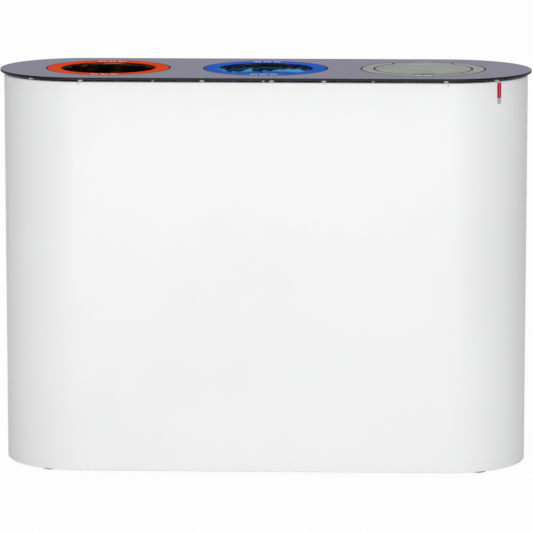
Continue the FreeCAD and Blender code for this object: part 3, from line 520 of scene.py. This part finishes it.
# The films' sections are in millimetres. A row is a radius, a height over the bin's rim
# and a depth of crumple.
BIN_RIM = 912.0
closed_mouth = [(134.6, 2.0, 0.3), (134.7, 6.5, 0.2)]
bunched_mouth = [(133.6, 0.6, 4.0), (132.8, 3.0, 7.0), (129.6, 6.0, 8.5), (124.5, 8.8, 9.0),
                 (119.4, 11.0, 8.0), (117.0, 13.2, 7.0), (115.6, 15.6, 6.0), (115.0, 17.4, 4.2),
                 (115.2, 18.0, 3.4), (116.4, 15.4, 2.6), (118.4, 12.4, 1.4), (124.0, 11.0, 0.8),
                 (130.0, 10.0, 0.4), (134.2, 9.3, 0.1)]
cuff = [(135.8, 9.1, 0), (137.2, 9.2, 0), (138.6, 8.9, 0), (138.8, 7.0, 0.1), (138.8, 5.0, 0.2),
        (138.9, 3.2, 0.2)]


def film_rows(mouth):
    """Radius, height and depth of crumple of each row, from the bag's floor to its edge, in mm."""
    rows = [(radius, 16.2, 0.1) for radius in (3, 30, 60, 90, 115, 130)]
    rows.append((136.0, 17.2, 0.3))
    for row in range(BIN_WALL_ROWS + 1):
        share = row / BIN_WALL_ROWS
        rows.append((137.2 + 9.2 * share, 20 + (BIN_RIM - 30) * share, 3.0 + 3.0 * share))
    rows += [(144.5, BIN_RIM - 4.5, 3.0), (139.0, BIN_RIM - 2.2, 1.5), (135.0, BIN_RIM - 1.0, 1.2)]
    return rows + [(radius, BIN_RIM + height, depth) for radius, height, depth in mouth + cuff]


def crumple(angle, height, seed):
    """How far the film stands in from its smooth place, 0 to 1: pleats that wander, and creases."""
    x, y = math.cos(angle), math.sin(angle)
    wander = 1.3 * noise.noise(Vector((2.2 * x, 2.2 * y, 14 * height + seed)))
    fold = 0.5 + 0.5 * math.sin(PLEATS * angle + 5 * wander)
    broad = 0.5 + noise.noise(Vector((3.1 * x, 3.1 * y, 9 * height + 2 * seed)))
    crease = 1 - abs(noise.noise(Vector((11 * x, 11 * y, 60 * height + seed)))) * 2
    return max(0.0, min(1.0, 0.45 * fold * (0.4 + broad) + 0.25 * broad + 0.3 * max(0, crease) ** 2))


def reach_from(tree, spot, middle):
    """Level distance from the upright line at x = middle."""
    across = add(tree, "Math", [spot.outputs["X"], middle], operation="SUBTRACT")
    flat = add(tree, "CombineXYZ", [across, spot.outputs["Y"]])
    return add(tree, "VectorMath", [flat], operation="LENGTH").outputs["Value"]


def bag_film(side, middle, mouth, material, seed):
    """One bag: its floor, its wall up the bin, its mouth and its cuff."""
    form = bmesh.new()
    rings = []
    for radius, height, depth in film_rows(mouth):
        ring = []
        for step in range(FILM_STEPS):
            angle = 2 * math.pi * step / FILM_STEPS
            reach = (radius - depth * crumple(angle, height * MM, seed)) * MM
            ring.append(form.verts.new((middle + reach * math.cos(angle), reach * math.sin(angle),
                                        height * MM)))
        rings.append(ring)
    form.faces.new(rings[0])
    skin(form, rings)
    film = new_piece(f"film_bag_{side}", to_mesh(f"film_bag_{side}", form), material, "housing",
                     node=f"liner_{side}")
    body = film.modifiers.new("film", "SOLIDIFY")
    body.thickness = FILM_SHEET
    body.offset = 0


# Recycled low-density polyethylene, blown film: shiny and black, with painted reflections: brown
# glints mottled over it. Its streaks are drawn out downwards.
black_film, tree, shader = new_finish("black_blown_film", "14100D", 0.2)
place = add(tree, "TexCoord").outputs["Object"]
drawn = add(tree, "VectorMath", [place, (1.0, 1.0, 0.22)], operation="MULTIPLY").outputs[0]
# Painted reflections: brown streaks mottled over the black, like glints in the folds.
relief(tree, shader, mottle(tree, shader, 30, "1A1412", "A8744A", low=0.5, high=0.75, place=drawn), 0.6)

# Tinted low-density polyethylene, blown film: clear blue, with painted light and shade: pale where
# light comes through it, near black in the shade high up under the ring and to the left, and a
# painted highlight at the far left. The weak emission is a painted glow for daylight through the film.
blue_film, tree, shader = new_finish("blue_blown_film", "4FA3E0", 0.26)
place = add(tree, "TexCoord").outputs["Object"]
spot = add(tree, "SeparateXYZ", [place])
drawn = add(tree, "VectorMath", [place, (1.0, 1.0, 0.25)], operation="MULTIPLY")
shade_breakup = add(tree, "TexNoise", {"Vector": drawn, "Scale": grains_per_metre(32), "Detail": 3})
# Painted light and shade: pale low down and to the right, dark high up and to the left, a highlight at the
# far left, broken up by noise.
painted_light, *others = [add(tree, "MapRange", share) for share in (
    [spot.outputs["Z"], SHADE_TOP, SHADE_LOW, -0.1, 0.6],
    [spot.outputs["X"], SHADE_LEFT, SHADE_RIGHT, -0.25, 0.3],
    [spot.outputs["X"], SHADE_LEFT, HIGHLIGHT_LEFT, 0.0, 0.9],
    [shade_breakup, 0.3, 0.7, -0.4, 0.4])]
for other in others:
    painted_light = add(tree, "Math", [painted_light, other], operation="ADD")
tint = add(tree, "ValToRGB", [painted_light], stops=((0.27, "0A131D"), (0.4, "86CDFA")))
for name in ("Base Color", "Emission Color"):
    tree.links.new(tint.outputs["Color"], shader.inputs[name])
# Painted glow: weak emission inside the cuff and below it, fading further down.
inside = add(tree, "Math", [reach_from(tree, spot, 0.0), CUFF_INNER], operation="LESS_THAN")
below = add(tree, "Math", [spot.outputs["Z"], CUFF_LOW], operation="LESS_THAN")
lit = add(tree, "Math", [inside, below], operation="MAXIMUM")
fade = add(tree, "MapRange", [spot.outputs["Z"], NO_LIGHT, FULL_LIGHT, 0.0, DAYLIGHT])
daylight = add(tree, "Math", [lit, fade], operation="MULTIPLY")
tree.links.new(daylight.outputs[0], shader.inputs["Emission Strength"])
fine = add(tree, "TexNoise", {"Vector": place, "Scale": grains_per_metre(16), "Detail": 4})
relief(tree, shader, fine, 0.6)

# The same film in grey, half opaque.
grey_film, tree, shader = new_finish("grey_blown_film", "8A8F8C", 0.3)
relief(tree, shader, mottle(tree, shader, 18, "747977", "A0A5A2", detail=5), 0.5)

bag_film("left", -BIN_PITCH, bunched_mouth, black_film, 3.0)
bag_film("middle", 0.0, bunched_mouth, blue_film, 11.0)
bag_film("right", BIN_PITCH, closed_mouth, grey_film, 23.0)

# --- Lid plate -------------------------------------------------------------------------
# Solid-core laminate, 6 mm: layers of resin-soaked paper pressed together, a grey decor
# sheet on both faces and a black core that shows at the milled edges.

DECOR_TOP = LID_TOP - 0.4 * MM
DECOR_LOW = LID_TOP - LID_THICK + 0.2 * MM
PLY_MM = 0.5

# Melamine decor over a phenolic core: matt, with a fine pressed pearl. The pearl's real
# grain is 0.4 mm and is drawn at 1.6 mm; the core's paper layers show as faint lines.
laminate, tree, shader = new_finish("solid_core_laminate", "9290A1", 0.55)
shader.inputs["Specular IOR Level"].default_value = 0.18
place = add(tree, "TexCoord").outputs["Object"]
pearl = add(tree, "TexNoise", {"Vector": place, "Scale": grains_per_metre(1.6), "Detail": 3})
decor = add(tree, "ValToRGB", [pearl], stops=((0.3, "9592A5"), (0.7, "A5A2B5")))
height = add(tree, "SeparateXYZ", [place]).outputs["Z"]
turns = add(tree, "Math", [height, 2 * math.pi * grains_per_metre(PLY_MM)], operation="MULTIPLY")
plies = add(tree, "MapRange", [add(tree, "Math", [turns], operation="SINE"), -1.0])
core = add(tree, "ValToRGB", [plies], stops=((0, "0E0E11"), (1, "17171B")))
upper = add(tree, "Math", [height, DECOR_TOP], operation="GREATER_THAN")
lower = add(tree, "Math", [height, DECOR_LOW], operation="LESS_THAN")
faced = add(tree, "Math", [upper, lower], operation="MAXIMUM")
both = add(tree, "Mix", {"Factor": faced, 6: core, 7: decor}, data_type="RGBA")
tree.links.new(both.outputs[2], shader.inputs["Base Color"])
rough_between(tree, shader, faced, 0.38, 0.55)
relief(tree, shader, pearl, 0.04)
dress("top_plate", laminate)

# --- Throw-in rings and flap -----------------------------------------------------------
# Moulded rings lie flush in the plate and are held from below by large washers. The
# right-hand ring carries a lifting flap on two pins. Plain numbers are printed on each.

RING_EDGE = 142.6 * MM
FLAP_RADIUS = 113.5 * MM
TAB_HALF = 69.5 * MM
TAB_REACH = FLAP_RADIUS + 17.5 * MM
GAP_HALF = 1 * MM
LINE_HALF = 2 * MM
LEDGE_WIDE = 2.8 * MM
RING_GREY = ("B2B5AF", "ACAFA9", "B8BBB5")


def lay_painted_shade(tree, shader, where, colour):
    """Cover the base colour with a darker one, as painted shade, where a factor is 1."""
    clean = shader.inputs["Base Color"].links[0].from_socket
    shaded = add(tree, "Mix", {"Factor": where, 6: clean, 7: linear(colour)}, data_type="RGBA")
    tree.links.new(shaded.outputs[2], shader.inputs["Base Color"])


def ring_plastic(name, colour, dark, light, middle):
    """ABS coloured through, moulded with a fine matt texture whose grain of 0.15 mm is drawn at
    1 mm. Its outermost edge is darkened with painted shade, for the shadow in the seam."""
    material, tree, shader = new_finish(name, colour, 0.4)
    shader.inputs["Specular IOR Level"].default_value = 0.004
    mottle(tree, shader, 60, dark, light)
    place = add(tree, "TexCoord").outputs["Object"]
    fine = add(tree, "TexNoise", {"Vector": place, "Scale": grains_per_metre(1)})
    rough_between(tree, shader, fine, 0.36, 0.5)
    relief(tree, shader, fine, 0.03)
    spot = add(tree, "SeparateXYZ", [place])
    # Painted shade: a dark band round the ring's outermost edge, for the shadow in its seam.
    seam_shade = add(tree, "Math", [reach_from(tree, spot, middle), RING_EDGE], operation="GREATER_THAN")
    lay_painted_shade(tree, shader, seam_shade, "1B1B20")
    return material


def paint_joint_shade(material, ledge):
    """Paint shade on the line between flap and ring, and on the ring's ledge under it, where the gap lies in
    shadow.
    """
    tree = material.node_tree
    spot = add(tree, "SeparateXYZ", [add(tree, "TexCoord").outputs["Object"]])
    reach = reach_from(tree, spot, BIN_PITCH)
    across = add(tree, "Math", [spot.outputs["X"], BIN_PITCH], operation="SUBTRACT")
    aside = add(tree, "Math", [across], operation="ABSOLUTE")
    behind = add(tree, "Math", [spot.outputs["Y"], 0.0], operation="GREATER_THAN")
    past = add(tree, "Math", [reach, FLAP_RADIUS], operation="GREATER_THAN")
    beyond = add(tree, "Math", [behind, past], operation="MULTIPLY")
    narrow = add(tree, "Math", [aside, TAB_HALF + GAP_HALF], operation="LESS_THAN")
    within = add(tree, "Math", [behind, narrow], operation="MULTIPLY")
    near = add(tree, "Math", [reach, TAB_REACH + 2 * GAP_HALF], operation="LESS_THAN")
    # The line has three stretches: round the disc, along the tab's sides, and behind the tab.
    rim = add(tree, "Math", [reach, FLAP_RADIUS + GAP_HALF, LINE_HALF], operation="COMPARE")
    free = add(tree, "Math", [1.0, within], operation="SUBTRACT")
    rim = add(tree, "Math", [rim, free], operation="MULTIPLY")
    side = add(tree, "Math", [aside, TAB_HALF + GAP_HALF, LINE_HALF], operation="COMPARE")
    reached = add(tree, "Math", [beyond, near], operation="MULTIPLY")
    side = add(tree, "Math", [side, reached], operation="MULTIPLY")
    back = add(tree, "Math", [reach, TAB_REACH + GAP_HALF, LINE_HALF], operation="COMPARE")
    back = add(tree, "Math", [back, within], operation="MULTIPLY")
    tab = add(tree, "Math", [side, back], operation="MAXIMUM")
    shaded = add(tree, "Math", [rim, tab], operation="MAXIMUM")
    # Painted shade on the ring's ledge under the gap, below the decor's top.
    if ledge:
        deep = add(tree, "Math", [spot.outputs["Z"], DECOR_TOP], operation="LESS_THAN")
        disc = add(tree, "Math", [reach, FLAP_RADIUS + LEDGE_WIDE], operation="LESS_THAN")
        notch = add(tree, "Math", [within, beyond], operation="MULTIPLY")
        inside = add(tree, "Math", [disc, notch], operation="MAXIMUM")
        sunk = add(tree, "Math", [deep, inside], operation="MULTIPLY")
        shaded = add(tree, "Math", [shaded, sunk], operation="MAXIMUM")
    # The painted shade's colour: a dark greenish black.
    lay_painted_shade(tree, tree.nodes["Principled BSDF"], shaded, "232A25")
    return material


dress("throw_ring_left", ring_plastic("moulded_orange_abs", "FF4A08", "FA4404", "FF500C", -BIN_PITCH))
dress("throw_ring_middle", ring_plastic("moulded_blue_abs", "2468D8", "1F60CE", "2A70E0", 0.0))
dress("throw_ring_right", paint_joint_shade(ring_plastic("moulded_grey_abs_ring", *RING_GREY, BIN_PITCH), True))
dress("flap", paint_joint_shade(ring_plastic("moulded_grey_abs", *RING_GREY, BIN_PITCH), False))
dress("flap_pins", stainless)
dress("ring_washers", zinc)

MARK_RADIUS = 128.5 * MM
MARK_TALL = 16 * MM
MARK_WEIGHT = 0.95 * MM
MARK_LIFT = 0.03 * MM
BACK_STRIP_RADIUS = 138 * MM
BACK_STRIP_SHARE = 0.55

# Pad-printed ink: an even, slightly raised white film.
ink, tree, shader = new_finish("white_pad_printing_ink", "F4F4F2", 0.5)
relief(tree, shader, mottle(tree, shader, 2, "ECECEA", "F8F8F6"), 0.01, 0.4)


def printed_rows(name, text, middle, back_radius=MARK_RADIUS, back_share=1.0):
    """Plain numbers printed at the back and front of a ring, bent to its curve. The back row may
    lie on another radius, and its height may be a share of the front row's."""
    curve = bpy.data.curves.new(name, "FONT")
    curve.body = text
    curve.align_x = "CENTER"
    curve.align_y = "CENTER"
    curve.size = MARK_TALL
    curve.offset = MARK_WEIGHT
    curve.space_character = 1.12
    curve.resolution_u = 3
    holder = bpy.data.objects.new(name, curve)
    flat = bpy.data.meshes.new_from_object(holder)
    form = bmesh.new()
    for side, radius, share in ((1, back_radius, back_share), (-1, MARK_RADIUS, 1.0)):
        spots = []
        for vert in flat.vertices:
            reach = radius + side * share * vert.co.y
            angle = side * math.pi / 2 - side * vert.co.x / radius
            spots.append(form.verts.new((middle + reach * math.cos(angle), reach * math.sin(angle),
                                         LID_TOP + MARK_LIFT)))
        for face in flat.polygons:
            form.faces.new([spots[i] for i in face.vertices])
    bpy.data.objects.remove(holder)
    for face in form.faces:
        if face.normal.z < 0:
            face.normal_flip()
    new_piece(name, to_mesh(name, form, mend_normals=False), ink, "lid", sharp_angle=30)


printed_rows("printed_numbers_left", "01 01 01", -BIN_PITCH)
printed_rows("printed_numbers_middle", "02 02 02", 0.0)
# The flap's tab leaves only a narrow strip at the back of the right-hand ring.
printed_rows("printed_numbers_right", "03 03", BIN_PITCH, BACK_STRIP_RADIUS, BACK_STRIP_SHARE)

# --- Tag -------------------------------------------------------------------------------
# A narrow label stuck to the right-hand end: a red field above a short silver field, both
# printed with plain stripes only.

TAG_ANGLE = 38.4


def label_film(name, field, stripe, half_mm, pitch_mm, share):
    """Printed polyester label film: a satin colour with a row of plain dashes down its middle."""
    material, tree, shader = new_finish(name, field, 0.35)
    shader.inputs["Specular IOR Level"].default_value = 0.15
    place = add(tree, "TexCoord").outputs["Object"]
    spot = add(tree, "SeparateXYZ", [place])
    out = add(tree, "Math", [spot.outputs["X"], BODY_HALF_STRAIGHT], operation="SUBTRACT")
    forward = add(tree, "Math", [spot.outputs["Y"], -1.0], operation="MULTIPLY")
    angle = add(tree, "Math", [out, forward], operation="ARCTAN2")
    off = add(tree, "Math", [angle, math.radians(TAG_ANGLE)], operation="SUBTRACT")
    off = add(tree, "Math", [off], operation="ABSOLUTE")
    near = add(tree, "Math", [off, half_mm * MM / BODY_RADIUS], operation="LESS_THAN")
    beat = add(tree, "Math", [spot.outputs["Z"], pitch_mm * MM], operation="FLOORED_MODULO")
    dash = add(tree, "Math", [beat, share * pitch_mm * MM], operation="LESS_THAN")
    marked = add(tree, "Math", [near, dash], operation="MULTIPLY")
    printed = add(tree, "Mix", {"Factor": marked, 6: linear(field), 7: linear(stripe)}, data_type="RGBA")
    tree.links.new(printed.outputs[2], shader.inputs["Base Color"])
    fine = add(tree, "TexNoise", {"Vector": place, "Scale": grains_per_metre(1)})
    rough_between(tree, shader, fine, 0.3, 0.42)
    return material


dress("tag_red_part", label_film("red_label_film", "B8061E", "F0E6E6", 0.6, 4.6, 0.4))
dress("tag_silver_part", label_film("silver_label_film", "C9CACB", "77797C", 3.4, 3.6, 0.4))

# --- Studio ----------------------------------------------------------------------------
# A pale floor that glows white for the camera, a surround that is white in front and
# darker at the ends and behind, and two soft lamps. None of it is part of the object.

FLOOR_HALF = 30.0
FLOOR_GLOW = 0.96

form = bmesh.new()
bmesh.ops.create_grid(form, x_segments=1, y_segments=1, size=FLOOR_HALF)
floor_mesh = to_mesh("studio_floor", form, mend_normals=False)
floor = bpy.data.objects.new("studio_floor", floor_mesh)
bpy.context.scene.collection.objects.link(floor)
floor_paint, tree, shader = new_finish("studio_floor_paint", "F7F7F7", 0.8)
rays = add(tree, "LightPath")
seen = add(tree, "Math", [rays.outputs["Is Camera Ray"], FLOOR_GLOW], operation="MULTIPLY")
glow = add(tree, "Emission", {"Color": (1, 1, 1, 1), "Strength": 1.0})
blended = add(tree, "MixShader", [seen, shader, glow])
tree.links.new(blended.outputs[0], tree.nodes["Material Output"].inputs["Surface"])
floor_mesh.materials.append(floor_paint)

world = bpy.data.worlds.new("studio_surround")
bpy.context.scene.world = world
world.use_nodes = True
tree = world.node_tree
tree.nodes.clear()
heading = add(tree, "SeparateXYZ", [add(tree, "TexCoord").outputs["Generated"]])
ends = add(tree, "Math", [heading.outputs["X"]], operation="ABSOLUTE")
surround = add(tree, "ValToRGB", [ends])
surround.color_ramp.elements[0].position = 0.12
surround.color_ramp.elements[0].color = (1.0, 1.0, 1.0, 1)
surround.color_ramp.elements[1].position = 1.0
surround.color_ramp.elements[1].color = (0.38, 0.385, 0.395, 1)
rear = add(tree, "MapRange", [heading.outputs["Y"], 0.2, 0.9, 0.86, 0.36])
lighting = add(tree, "Background", {"Color": surround, "Strength": rear})
backdrop = add(tree, "Background", {"Color": (1, 1, 1, 1), "Strength": 1.0})
rays = add(tree, "LightPath")
seen = [rays.outputs["Is Camera Ray"], rays.outputs["Is Transmission Ray"]]
clear = add(tree, "Math", seen, operation="MAXIMUM")
both = add(tree, "MixShader", [clear, lighting, backdrop])
tree.links.new(both.outputs[0], add(tree, "OutputWorld").inputs["Surface"])


def soft_lamp(name, place, aim, size, power):
    """A rectangular lamp that shines towards a spot."""
    lamp = bpy.data.lights.new(name, "AREA")
    lamp.shape = "RECTANGLE"
    lamp.size, lamp.size_y = size
    lamp.energy = power
    holder = bpy.data.objects.new(name, lamp)
    bpy.context.scene.collection.objects.link(holder)
    holder.location = place
    holder.rotation_euler = (Vector(aim) - Vector(place)).to_track_quat("-Z", "Y").to_euler()


soft_lamp("front_softbox", (0.05, -4.5, 0.4), (0, 0, 0.3), (4.0, 1.1), 65)
soft_lamp("top_softbox", (0.4, 0.15, 3.6), (0, 0, 0.9), (2.6, 1.6), 9)

# --- Camera ----------------------------------------------------------------------------
# A long lens 9 m in front of the station, 2 m up and a little to the right, tilted 9
# degrees down. A small lens shift sets how high the station stands in the picture.

camera = bpy.data.cameras.new("camera")
camera.lens = 261.8
camera.sensor_width = 36
camera.shift_y = -0.0563
camera.clip_end = 100
holder = bpy.data.objects.new("camera", camera)
bpy.context.scene.collection.objects.link(holder)
holder.location = (0.321, -9.0, 2.002)
holder.rotation_euler = (math.radians(90 - 9.25), 0, math.radians(2.03))
bpy.context.scene.camera = holder
bpy.context.scene.view_settings.view_transform = "Standard"
